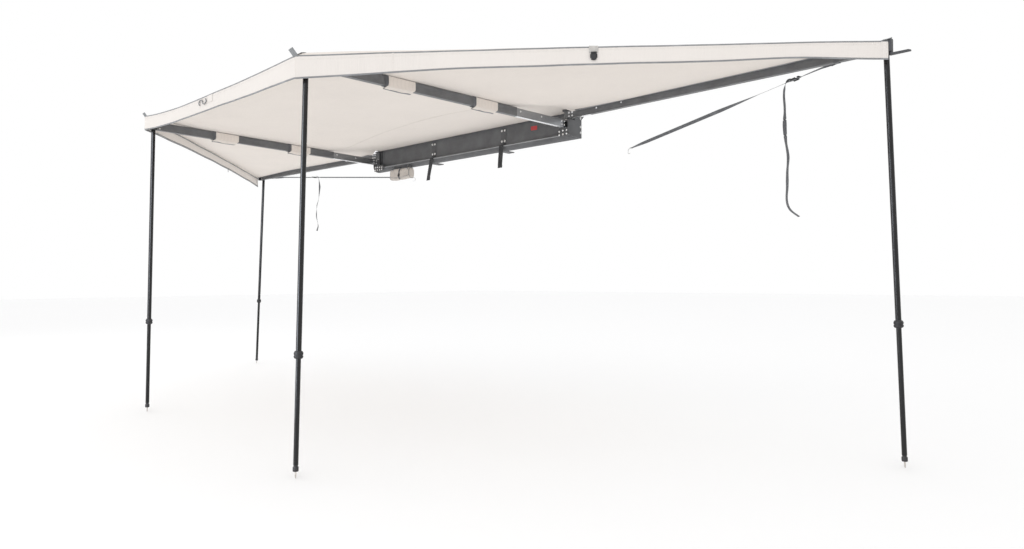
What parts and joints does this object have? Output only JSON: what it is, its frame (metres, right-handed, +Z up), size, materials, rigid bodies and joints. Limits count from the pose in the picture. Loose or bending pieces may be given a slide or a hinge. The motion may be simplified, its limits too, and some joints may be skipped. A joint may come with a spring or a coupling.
{
  "type": "vehicle side awning",
  "caption": "Open wing awning for the side of a roof rack: hinged case, folding arms, canvas canopy with hanging valance, telescoping poles and tie-back straps.",
  "frame": {"origin": "centre of the back plate's flat rear face, at mid-length and mid-height", "axes": "+X towards the rear end of the case (the vehicle's tail), -Y outwards from the vehicle under the canopy, +Z up; the ground is 2.02 m below the origin"},
  "size_m": [6.5808, 2.7863, 2.1192],
  "materials": {
    "case_black": "satin black powder coat",
    "arm_black": "satin black powder coat on extruded tube",
    "pole_black": "semi-gloss black coat",
    "knuckle_aluminium": "satin mill finish",
    "pin_steel": "zinc plated",
    "end_black": "moulded, fine texture",
    "buckle_black": "moulded",
    "canvas": "woven poly-cotton canvas, sand",
    "strap_black": "woven webbing",
    "strap_grey": "woven webbing"
  },
  "bodies": {
    "case": {"back_plate": "case_black", "canopy_rail": "case_black", "hinge_bracket_rear": "case_black", "hinge_bracket_front": "case_black", "hinge_pin_rear": "pin_steel", "hinge_pin_front": "pin_steel", "hinge_washer_rear": "pin_steel", "hinge_washer_front": "pin_steel", "clamp_plate_rear": "case_black", "clamp_plate_front": "case_black", "rack_bracket_rear": "case_black", "rack_bracket_front": "case_black", "closure_strap_rear": "strap_black", "closure_strap_front": "strap_black", "stow_pouch": "canvas", "canopy_centre": "canvas", "edge_hook_outer": "pin_steel"},
    "centre_rear": {"knuckle_centre_rear": "knuckle_aluminium", "arm_centre_rear": "arm_black", "tip_bracket_centre_rear": "end_black", "arm_sleeve_inner_rear": "canvas", "arm_sleeve_outer_rear": "canvas", "canopy_wing_rear": "canvas", "edge_buckle_rear": "buckle_black"},
    "pole_centre_rear": {"pole_upper_centre_rear": "pole_black"},
    "foot_centre_rear": {"pole_lower_centre_rear": "pole_black", "foot_spike_centre_rear": "end_black"},
    "lock_centre_rear": {"lock_collar_centre_rear": "end_black"},
    "wing_rear": {"knuckle_wing_rear": "knuckle_aluminium", "arm_wing_rear": "arm_black", "tip_bracket_wing_rear": "end_black", "tie_strap_rear": "strap_grey", "tie_tail_rear": "strap_grey", "tie_buckle_rear": "buckle_black", "tie_hook_rear": "pin_steel"},
    "pole_wing_rear": {"pole_upper_wing_rear": "pole_black"},
    "foot_wing_rear": {"pole_lower_wing_rear": "pole_black", "foot_spike_wing_rear": "end_black"},
    "lock_wing_rear": {"lock_collar_wing_rear": "end_black"},
    "centre_front": {"knuckle_centre_front": "knuckle_aluminium", "arm_centre_front": "arm_black", "tip_bracket_centre_front": "end_black", "arm_sleeve_inner_front": "canvas", "arm_sleeve_outer_front": "canvas", "canopy_wing_front": "canvas"},
    "pole_centre_front": {"pole_upper_centre_front": "pole_black"},
    "foot_centre_front": {"pole_lower_centre_front": "pole_black", "foot_spike_centre_front": "end_black"},
    "lock_centre_front": {"lock_collar_centre_front": "end_black"},
    "wing_front": {"knuckle_wing_front": "knuckle_aluminium", "arm_wing_front": "arm_black", "tip_bracket_wing_front": "end_black", "tie_strap_front": "strap_grey", "tie_tail_front": "strap_grey", "tie_buckle_front": "buckle_black", "tie_hook_front": "pin_steel"},
    "pole_wing_front": {"pole_upper_wing_front": "pole_black"},
    "foot_wing_front": {"pole_lower_wing_front": "pole_black", "foot_spike_wing_front": "end_black"},
    "lock_wing_front": {"lock_collar_wing_front": "end_black"}
  },
  "joints": [
    {"name": "fold_centre_rear", "type": "hinge", "parent": "case", "child": "centre_rear", "pos_m": [1.12, -0.125, -0.012], "axis": [0, 0, -1], "range_deg": [0, 87.1], "deforming": ["canopy_centre", "edge_hook_outer"]},
    {"name": "swing_pole_centre_rear", "type": "hinge", "parent": "centre_rear", "child": "pole_centre_rear", "pos_m": [1.05057, -2.12001, -0.012], "axis": [0.9985, -0.0556, 0], "range_deg": [0, 85.69]},
    {"name": "extend_pole_centre_rear", "type": "slide", "parent": "pole_centre_rear", "child": "foot_centre_rear", "axis": [-0.048, 0.0584, 0.9971], "range_m": [-0.12, 0.5]},
    {"name": "twist_lock_centre_rear", "type": "hinge", "parent": "pole_centre_rear", "child": "lock_centre_rear", "pos_m": [1.11966, -2.20408, -1.448], "axis": [-0.048, 0.0584, 0.9971], "range_deg": [0, 90]},
    {"name": "fold_wing_rear", "type": "hinge", "parent": "centre_rear", "child": "wing_rear", "pos_m": [1.12, -0.125, 0.048], "axis": [0, 0, -1], "range_deg": [0, 90.9], "deforming": ["canopy_wing_rear", "edge_buckle_rear", "tie_strap_rear", "tie_tail_rear", "tie_buckle_rear", "tie_hook_rear"]},
    {"name": "swing_pole_wing_rear", "type": "hinge", "parent": "wing_rear", "child": "pole_wing_rear", "pos_m": [3.15188, -0.16182, 0.048], "axis": [0.0387, 0.9992, 0], "range_deg": [0, 85.44]},
    {"name": "extend_pole_wing_rear", "type": "slide", "parent": "pole_wing_rear", "child": "foot_wing_rear", "axis": [-0.0338, 0.0013, 0.9994], "range_m": [-0.12, 0.5]},
    {"name": "twist_lock_wing_rear", "type": "hinge", "parent": "pole_wing_rear", "child": "lock_wing_rear", "pos_m": [3.19815, -0.16362, -1.32], "axis": [-0.0338, 0.0013, 0.9994], "range_deg": [0, 90]},
    {"name": "fold_centre_front", "type": "hinge", "parent": "case", "child": "centre_front", "pos_m": [-1.12, -0.045, -0.012], "axis": [0, 0, 1], "range_deg": [0, 87.1]},
    {"name": "swing_pole_centre_front", "type": "hinge", "parent": "centre_front", "child": "pole_centre_front", "pos_m": [-1.05057, -2.04001, -0.012], "axis": [0.9985, 0.0556, 0], "range_deg": [0, 82.39]},
    {"name": "extend_pole_centre_front", "type": "slide", "parent": "pole_centre_front", "child": "foot_centre_front", "axis": [0.0518, 0.0009, 0.9987], "range_m": [-0.12, 0.5]},
    {"name": "twist_lock_centre_front", "type": "hinge", "parent": "pole_centre_front", "child": "lock_centre_front", "pos_m": [-1.12146, -2.04123, -1.38], "axis": [0.0518, 0.0009, 0.9987], "range_deg": [0, 90]},
    {"name": "fold_wing_front", "type": "hinge", "parent": "centre_front", "child": "wing_front", "pos_m": [-1.12, -0.045, 0.048], "axis": [0, 0, 1], "range_deg": [0, 90.9], "deforming": ["canopy_wing_front", "tie_strap_front", "tie_tail_front", "tie_buckle_front", "tie_hook_front"]},
    {"name": "swing_pole_wing_front", "type": "hinge", "parent": "wing_front", "child": "pole_wing_front", "pos_m": [-3.15188, -0.08182, 0.048], "axis": [0.0387, -0.9992, 0], "range_deg": [0, 87.65]},
    {"name": "extend_pole_wing_front", "type": "slide", "parent": "pole_wing_front", "child": "foot_wing_front", "axis": [0.0723, 0.0028, 0.9974], "range_m": [-0.12, 0.5]},
    {"name": "twist_lock_wing_front", "type": "hinge", "parent": "pole_wing_front", "child": "lock_wing_front", "pos_m": [-3.25103, -0.08567, -1.32], "axis": [0.0723, 0.0028, 0.9974], "range_deg": [0, 90]}
  ]
}
